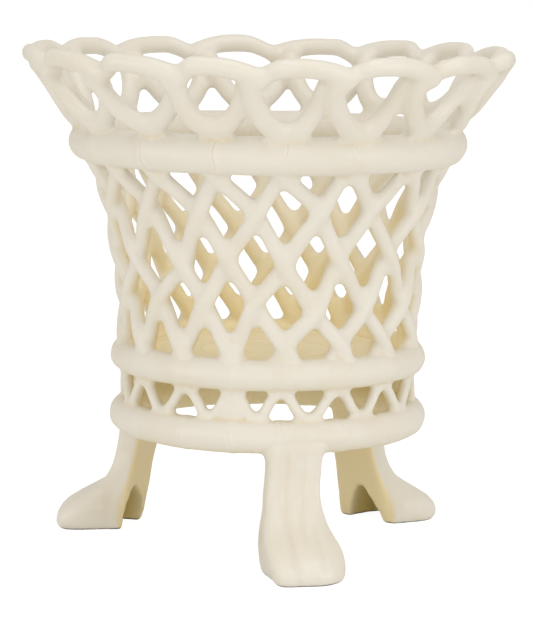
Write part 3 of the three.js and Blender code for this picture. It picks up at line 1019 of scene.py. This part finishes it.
@dataclass(frozen=True)
class Arcade:
    """The waving coil between the base ring and the lower band."""

    low: float = 74.0
    high: float = 87.2
    half_thick: float = 2.8
    half_wide: float = 2.6
    bow: float = 0.9
    filled: int = -1
    plug_height: float = 79.0
    plug_halves: Row = (3.1, 11.0)
    plug_ends: Row = (2.0, 8.0)

    def coil(self) -> Coil:
        """Returns the closed wave, with an arch under each node."""
        share = np.arange(MODULES * 26) / 26.0
        wave = np.cos(2.0 * np.pi * share)
        bowed = np.sign(wave) * np.abs(wave) ** self.bow
        height = self.low + (self.high - self.low) * (1.0 + bowed) / 2.0
        real, _ = HAND.set(HAND.node(share), height)
        middle = around(real, RING_RADIUS, height)
        return Coil(middle, around(real, 1.0, 0.0), self.half_thick, self.half_wide, closed=True)

    def plug(self) -> Coil:
        """Returns the clay that fills one arch."""
        share = np.linspace(-0.3, 0.3, 20)
        real, _ = HAND.set(HAND.node(self.filled + share), self.plug_height)
        middle = around(real, RING_RADIUS, self.plug_height)
        sizes = zip(self.plug_halves, self.plug_ends)
        thick, wide = (round_ends(middle, half, (end, end)) for half, end in sizes)
        return Coil(middle, around(real, 1.0, 0.0), thick, wide)

    def build(self, glaze: Material, workshop: Workshop) -> None:
        """Makes the arcade, luted and glazed."""
        coils = [self.coil(), self.plug()]
        workshop.make("arcade", coils, (BASE_RING, LOWER_BAND), glaze, ["arcade_coil"])


@dataclass(frozen=True)
class FloorPlate:
    """The round floor inside the lower band, with the rings that a wet sponge left."""

    radius: float = 65.4
    low: float = 92.6
    high: float = 98.4
    dish: float = 0.9

    def build(self, glaze: Material) -> None:
        """Turns and glazes the floor plate."""
        clay = bmesh.new()
        made = bmesh.ops.create_circle(clay, cap_ends=True, segments=120, radius=self.radius * MM)
        bmesh.ops.translate(clay, vec=(0.0, 0.0, self.low * MM), verts=made["verts"])
        pulled = bmesh.ops.extrude_face_region(clay, geom=clay.faces[:])
        top = [item for item in pulled["geom"] if isinstance(item, bmesh.types.BMVert)]
        bmesh.ops.translate(clay, vec=(0.0, 0.0, (self.high - self.low) * MM), verts=top)
        bmesh.ops.recalc_face_normals(clay, faces=clay.faces[:])
        for sign in (1.0, -1.0):
            face = max(clay.faces, key=lambda item: item.normal.z * sign)
            for _ in range(30):
                bmesh.ops.inset_region(clay, faces=[face], thickness=2.05 * MM)
        for vert in clay.verts:
            out = math.hypot(vert.co.x, vert.co.y) / MM
            up = 1.0 if vert.co.z > (self.low + self.high) / 2.0 * MM else -1.0
            ripple = 0.12 * math.sin(out * 1.9) + 0.08 * math.sin(out * 3.7 + 1.0)
            vert.co.z += (up * ripple - self.dish * (1.0 - (out / self.radius) ** 2)) * MM
        piece = shape_clay("floor_plate_glazed", clay)
        dress_mesh(piece)
        place_piece(piece, glaze, ["floor_plate"])


@dataclass(frozen=True)
class PawLeg:
    """A leg with a hollow paw, modelled by hand and luted under the base ring."""

    name: str
    degrees: float
    side: int = 0
    heights: Row = (0.0, 1.5, 4.0, 8.0, 12.0, 16.0, 20.0, 24.0, 28.0, 32.0, 36.0, 40.0, 46.0, 54.0, 62.0)
    fronts: Row = (
        110.4, 112.0, 112.8, 111.6, 108.0, 102.0, 95.0, 88.8, 84.8, 82.4, 81.0, 80.2, 79.6, 79.6, 79.8
    )
    lefts: Row = (13.4, 14.0, 15.0, 16.2, 17.0, 17.0, 16.4, 15.4, 14.4, 13.6, 13.2, 13.0, 12.8, 12.8, 12.8)
    rights: Row = (21.4, 22.2, 22.6, 22.6, 22.2, 21.2, 19.6, 17.4, 15.6, 14.2, 13.2, 12.6, 12.2, 13.2, 17.0)
    toe_spread: tuple[float, float] = (0.95, 1.0)
    roundness: tuple[float, float] = (0.3, 1.0)
    heel_heights: Row = (0.0, 5.0, 13.0, 21.0, 30.0, 42.0)
    heel_lefts: Row = (15.6, 16.6, 17.0, 15.8, 14.2, 13.6)
    heel_rights: Row = (16.0, 17.0, 17.0, 15.5, 13.8, 12.6)
    arch_heights: Row = (0.0, 5.0, 9.0, 14.0, 19.0, 22.0)
    arch_lefts: Row = (12.0, 11.5, 10.5, 8.0, 4.0, 0.5)
    arch_rights: Row = (12.0, 11.5, 10.5, 8.0, 4.0, 0.5)
    heel: float = 73.0
    top_back: float = 64.0
    wall: float = 5.0
    arch_room: float = 0.15
    plug_back: float = 54.0
    # Width over which the painted shade at the hollow's edge fades.
    painted_shade_edge: float = 1.4
    bend: float = 26.0
    sway: float = 5.0
    bend_length: float = 15.0
    bend_top: float = 40.0
    bend_full: float = 12.0

    def _body(self, hollow: bool) -> Object:
        """Makes the leg's outside, or the plug that its hollow is cut with.

        Args:
            hollow: True for the plug.

        Returns:
            The body, with x outwards and y across.
        """
        rings, sides = (26, 48) if hollow else (64, 64)
        low, high = (-4.0, self.arch_heights[-1]) if hollow else (0.0, self.heights[-1])

        def skin(levels: Array, turns: Array) -> list[Vector]:
            """Returns the skin's points in metres; its first and last level are closed to a point."""
            heights = low + (high - low) * np.clip(levels - 1, 0, rings - 2) / (rings - 2)
            shares = np.where((levels == 0) | (levels == rings), 0.0, 1.0)
            return [self._section(*place, hollow) * MM for place in zip(heights, turns, shares)]

        clay = bmesh.new()
        wrap_grid(clay, rings, sides, skin)
        return shape_clay("leg_plug" if hollow else "leg_body", clay)

    def _section(self, z: float, turn: float, share: float, hollow: bool) -> Vector:
        """Returns a point of the leg's section.

        Args:
            z: Height of the section.
            turn: Place round it, 0 at the front.
            share: 1 on the outline, 0 at its middle.
            hollow: True for the plug of the hollow.

        Returns:
            The point in millimetres.
        """
        level = max(z, 0.0)
        front, *paw = reads(level, self.heights, self.fronts, self.lefts, self.rights)
        heel = reads(level, self.heel_heights, self.heel_lefts, self.heel_rights)
        back = self._back(level)
        cosine, sine = math.cos(turn), math.sin(turn)
        if hollow:
            arch = reads(level, self.arch_heights, self.arch_lefts, self.arch_rights)
            room = self.arch_room * (arch[0] + arch[1])
            paw = [min(reach - self.wall, edge + room) for reach, edge in zip(paw, arch)]
            heel = arch
            front -= self.wall + 0.6
            back = self.plug_back
        roundness = self.roundness[1 if sine > 0 else 0]
        roundness += (0.36 - roundness) * float(ease(np.array((level - 18.0) / 16.0)))
        middle, half = (front + back) / 2.0, (front - back) / 2.0
        along = math.copysign(abs(cosine) ** (roundness if cosine > 0 else 0.25), cosine)
        across = math.copysign(abs(sine) ** (min(roundness, 0.9) if cosine > 0 else 0.3), sine)
        x = middle + half * along * share
        left, right = (
            float(np.interp(x, (self._back(level), 93.0, 112.0), (near, far, far * spread)))
            for near, far, spread in zip(heel, paw, self.toe_spread)
        )
        return Vector((x, (right - left) / 2.0 + (right + left) / 2.0 * across * share, z))

    def _back(self, level: Array) -> Array:
        """Returns how far out the back face stands at a height."""
        return self.heel + (self.top_back - self.heel) * level / self.heights[-1]

    def build(self, glaze: Material, workshop: Workshop) -> None:
        """Makes the leg: hollowed, luted, fluted, bent and glazed."""
        body, plug = self._body(hollow=False), self._body(hollow=True)
        modify(body, "BOOLEAN", operation="DIFFERENCE", solver="EXACT", object=plug)
        clay = bmesh.new()
        clay.from_mesh(bake(body))
        for loose in (body, plug):
            bpy.data.objects.remove(loose)
        piece = workshop.lute(self.name + "_modelled", clay, (BASE_RING,))
        self._flute(piece.data)
        dress_mesh(piece, self._painted_shade)
        workshop.trim(piece, (BASE_RING,))
        self._stand(piece.data)
        place_piece(piece, glaze, [self.name])

    def _painted_shade(self, points: Array, normals: Array) -> Array:
        """Says how much warm shade is painted on the leg's glaze: on its back face, and deeper inside the
        hollow.

        Args:
            points: Rows of x outwards, y across and z up, in millimetres.
            normals: Their outward unit vectors.

        Returns:
            0 for cream, 0.5 for painted warm shade and 1 for deep painted shade.
        """
        x, y, z = points.T
        rear = ease((-normals[:, 0] - 0.25) / 0.55)
        arch = reads(z, self.arch_heights, self.arch_lefts, self.arch_rights, beyond=0.0)
        front, *paw = reads(z, self.heights, self.fronts, self.lefts, self.rights)
        room = self.arch_room * (arch[0] + arch[1]) * ease((x - self._back(z)) / 12.0)
        edge = [np.minimum(reach + room, out - self.wall) for reach, out in zip(arch, paw)]
        fade = self.painted_shade_edge
        within = ease((np.where(y > 0.0, edge[1], edge[0]) + fade - np.abs(y)) / fade)
        within = within * ease((front - self.wall + fade - x) / fade) * (z < self.arch_heights[-1] + 1.5)
        into = ease((x - self._back(z)) / 9.0)
        # The painted shade deepens towards the ground inside the hollow.
        ground = 0.35 * ease((30.0 - z) / 24.0)
        return np.maximum(0.5 * rear, within * (0.5 + (0.15 + ground) * into))

    def _stand(self, mesh: Mesh) -> None:
        """Bends the paw sideways round its heel, levels the sole and turns the leg to its place."""
        points, _ = read_skin(mesh)
        x, y, z = points.T.copy()
        share = self.side * np.clip((self.bend_top - z) / (self.bend_top - self.bend_full), 0.0, 1.0)
        share = share * (np.hypot(x, y) < 130.0) * (x > 0.0)
        beyond = np.maximum(0.0, x - self.heel)
        bending = np.minimum(beyond, self.bend_length)
        turned = math.radians(self.bend) * share * bending / self.bend_length
        straight = beyond - bending
        out = x - beyond + bending * np.cos(turned / 2.0) + straight * np.cos(turned) - y * np.sin(turned)
        across = self.sway * share + bending * np.sin(turned / 2.0)
        across = across + straight * np.sin(turned) + y * np.cos(turned)
        turn = math.radians(self.degrees)
        place = np.stack(
            [
                out * math.sin(turn) + across * math.cos(turn),
                -out * math.cos(turn) + across * math.sin(turn),
                np.maximum(z, 0.02),
            ],
            axis=1,
        )
        write_points(mesh, place)

    def _flute(self, mesh: Mesh) -> None:
        """Draws the toes' grooves down the front of the leg."""
        points, normals = read_skin(mesh)
        x, y, z = points.T
        facing = np.clip((normals[:, 0] + 0.35 * normals[:, 2]) * 1.6 - 0.1, 0.0, 1.0)
        facing = facing * (x > 74.0) * (np.abs(y) < 24.0)
        depth = np.zeros(len(points))
        for path, low, high, width, deep in GROOVES:
            middle = np.interp(z, path[0], path[1])
            fade = ease((z - low + 3.0) / 6.0) * ease((high + 4.0 - z) / 12.0)
            depth += deep * fade * np.exp(-(((y - middle) / width) ** 2))
        write_points(mesh, points - normals * (depth * facing)[:, None])


# Each groove: heights and places across, its lower and upper end, its width and its depth.
GROOVES: tuple[tuple[tuple[Row, Row], float, float, float, float], ...] = (
    (((0.0, 8.0, 20.0, 40.0, 66.0), (-3.0, -4.0, -4.4, -4.5, -4.5)), -3.0, 60.0, 2.0, 1.3),
    (((20.0, 40.0, 66.0), (3.6, 4.0, 4.0)), 19.0, 60.0, 1.7, 0.8),
    (((34.0, 66.0), (10.0, 10.5)), 34.0, 60.0, 1.3, 0.5),
    (((0.0, 14.0, 34.0, 66.0), (-9.6, -9.6, -8.4, -8.0)), 6.0, 58.0, 1.6, 0.35),
    (((0.0, 14.0, 26.0), (10.0, 10.6, 9.0)), 3.0, 24.0, 1.8, 0.5),
)

LEGS = (
    PawLeg("leg_front", 10.7),
    PawLeg(
        "leg_right",
        138.5,
        side=-1,
        lefts=(21.5, 22.6, 23.4, 23.4, 22.6, 21.2, 19.4, 17.4, 15.8, 14.9, 14.6, 14.6, 14.8, 14.8, 14.6),
        rights=(18.0, 18.6, 19.4, 19.8, 19.6, 19.0, 18.0, 16.4, 14.8, 13.6, 12.8, 12.4, 12.2, 12.2, 12.4),
        toe_spread=(1.02, 0.95),
        roundness=(0.7, 0.5),
        heel_lefts=(22.8, 22.2, 19.4, 17.2, 15.6, 15.0),
        heel_rights=(18.0, 17.8, 16.8, 15.4, 13.8, 12.8),
        arch_lefts=(14.0, 11.8, 8.8, 5.2, 3.4, 2.8),
        arch_rights=(7.4, 6.8, 5.8, 4.0, 0.0, -2.0),
    ),
    PawLeg(
        "leg_left",
        -115.5,
        side=1,
        lefts=(16.0, 17.0, 18.2, 19.0, 19.2, 18.6, 17.4, 15.8, 14.4, 13.2, 12.4, 12.0, 11.8, 11.8, 12.0),
        rights=(16.4, 17.6, 18.8, 19.4, 19.4, 18.8, 17.6, 16.2, 15.0, 14.2, 13.8, 13.8, 14.0, 14.0, 14.0),
        toe_spread=(0.95, 1.18),
        roundness=(0.6, 0.45),
        heel_lefts=(13.4, 14.4, 15.0, 14.0, 12.3, 11.2),
        heel_rights=(14.6, 14.2, 13.4, 12.6, 12.6, 13.6),
        arch_lefts=(10.9, 10.7, 10.0, 7.0, 1.0, -3.5),
        arch_rights=(10.2, 9.7, 9.2, 8.4, 7.4, 7.0),
    ),
)


# Studio


@dataclass(frozen=True)
class Studio:
    """The camera at the photograph's place, a pale floor and soft light."""

    focal_pixels: float = 2900.0
    width_pixels: float = 533.0
    sensor: float = 36.0
    camera_place: tuple[float, float, float] = (0.21, -1454.4, 318.5)
    pitch: float = 7.855
    roll: float = 0.764
    aim: Row = (0.0, 0.0, 0.13)
    # Each lamp: its name, place and size in metres, watts and tint
    lamps: tuple[tuple[str, Row, float, float, Colour], ...] = (
        ("key", (0.9, -1.3, 1.1), 1.2, 2.4, WHITE),
        ("low_front", (-0.3, -1.6, 0.16), 0.8, 2.3, WHITE),
        ("low_left", (-1.5, -0.9, 0.22), 0.8, 4.4, (1.0, 0.99, 0.97)),
        ("low_right", (1.4, -1.0, 0.25), 0.8, 3.9, WHITE),
        ("top", (0.1, -0.45, 1.6), 1.3, 5.4, WHITE),
    )

    def set_camera(self) -> None:
        """Puts the camera where the photograph was taken from."""
        lens = bpy.data.cameras.new("camera")
        lens.sensor_fit = "HORIZONTAL"
        lens.sensor_width = self.sensor
        lens.lens = self.focal_pixels / self.width_pixels * self.sensor
        lens.clip_start = 0.01
        lens.clip_end = 50.0
        camera = put("camera", lens)
        tilt = Matrix.Rotation(math.radians(90.0 - self.pitch), 4, "X")
        roll = Matrix.Rotation(math.radians(self.roll), 4, "Z")
        camera.matrix_world = Matrix.Translation(Vector(self.camera_place) * MM) @ tilt @ roll
        bpy.context.scene.camera = camera

    def light(self) -> None:
        """Hangs square soft boxes that face the planter, in a white world that sheds a warm light."""
        for name, place, size, watts, tint in self.lamps:
            light = bpy.data.lights.new(name, "AREA")
            light.shape = "SQUARE"
            light.size = size
            light.energy = watts
            light.color = tint
            lamp = put(name, light)
            lamp.location = place
            aim = Vector(self.aim) - Vector(place)
            lamp.rotation_euler = aim.to_track_quat("-Z", "Y").to_euler()
        kiln = Kiln(bpy.data.worlds.new("studio"))
        seen = kiln.node("ShaderNodeLightPath")
        shown = kiln.node("ShaderNodeBackground", {"Color": (*WHITE, 1.0), "Strength": 1.0})
        soft = kiln.node("ShaderNodeBackground", {"Color": (1.0, 0.95, 0.86, 1.0), "Strength": 0.665})
        either = kiln.out(seen, "Is Camera Ray").larger(kiln.out(seen, "Is Transmission Ray"))
        mixed = kiln.node("ShaderNodeMixShader", {"Fac": either, 1: kiln.out(soft), 2: kiln.out(shown)})
        kiln.node("ShaderNodeOutputWorld", {"Surface": kiln.out(mixed)})
        bpy.context.scene.world = kiln.owner
        bpy.context.scene.view_settings.view_transform = "Standard"

    def lay_floor(self) -> None:
        """Lays the pale floor, which keeps a faint shadow."""
        clay = bmesh.new()
        bmesh.ops.create_grid(clay, x_segments=4, y_segments=4, size=6.0)
        floor = shape_clay("studio_floor", clay, outwards=False)
        kiln = Kiln(bpy.data.materials.new("studio_floor"))
        seen = kiln.out(kiln.node("ShaderNodeLightPath"), "Is Camera Ray")
        matt = kiln.node("ShaderNodeBsdfDiffuse", {"Color": (0.93, 0.93, 0.92, 1.0)})
        glow = kiln.node("ShaderNodeEmission", {"Color": (*WHITE, 1.0), "Strength": 1.25})
        mixed = kiln.node("ShaderNodeMixShader", {"Fac": seen * 0.75, 1: kiln.out(matt), 2: kiln.out(glow)})
        kiln.node("ShaderNodeOutputMaterial", {"Surface": kiln.out(mixed)})
        floor.data.materials.append(kiln.owner)


def main() -> None:
    """Builds the planter piece by piece."""
    logging.basicConfig(level=logging.INFO, format="%(name)s: %(message)s")
    studio = Studio()
    studio.set_camera()
    studio.light()
    studio.lay_floor()

    wall_glaze = Glaze("cream_glaze_on_the_wall").fire()
    band_glaze = Glaze("cream_glaze_on_the_bands", pooling_and_shade=0.5).fire()
    rim_glaze = Glaze("cream_glaze_on_the_rim", roughness=0.33, pooling_and_shade=0.8).fire()
    leg_glaze = Glaze("cream_glaze_on_the_legs", roughness=0.38, pooling_and_shade=0.3, bare_below=0.7).fire()
    # The floor's straw colour is pooled glaze and partly painted warm shade inside the pot.
    floor_glaze = Glaze(
        "pooled_glaze_and_painted_shade_on_the_floor",
        cream=(0.92, 0.83, 0.58),
        shade=(0.88, 0.77, 0.50),
        pooled_glaze_and_shade=(0.70, 0.57, 0.33),
        roughness=0.4,
        brushed=True,
    ).fire()

    workshop = Workshop(slip=1.5)
    bands = (
        BambooBand("upper_band", UPPER_BAND, (-2.9, -2.6, -0.4, -0.8, -2.0, -2.6)),
        BambooBand("lower_band", LOWER_BAND, (0.6, -0.1, 0.1, 0.6, 1.8, -1.1), groove=0.2, groove_half=1.0),
        BambooBand(
            "base_ring",
            BASE_RING,
            (0.2, 2.1, 0.6, -1.6, 0.8, -0.4),
            swell=0.55,
            groove=0.22,
            groove_half=0.9,
        ),
    )
    for band in bands:
        band.build(band_glaze)
    Lattice().build(wall_glaze, workshop)
    Gallery().build(rim_glaze, workshop)
    Arcade().build(wall_glaze, Workshop(voxel=0.9, slip=1.2))
    FloorPlate().build(floor_glaze)
    for leg in LEGS:
        leg.build(leg_glaze, Workshop(voxel=0.9, slip=2.4, softening=6))


if __name__ == "__main__":
    main()
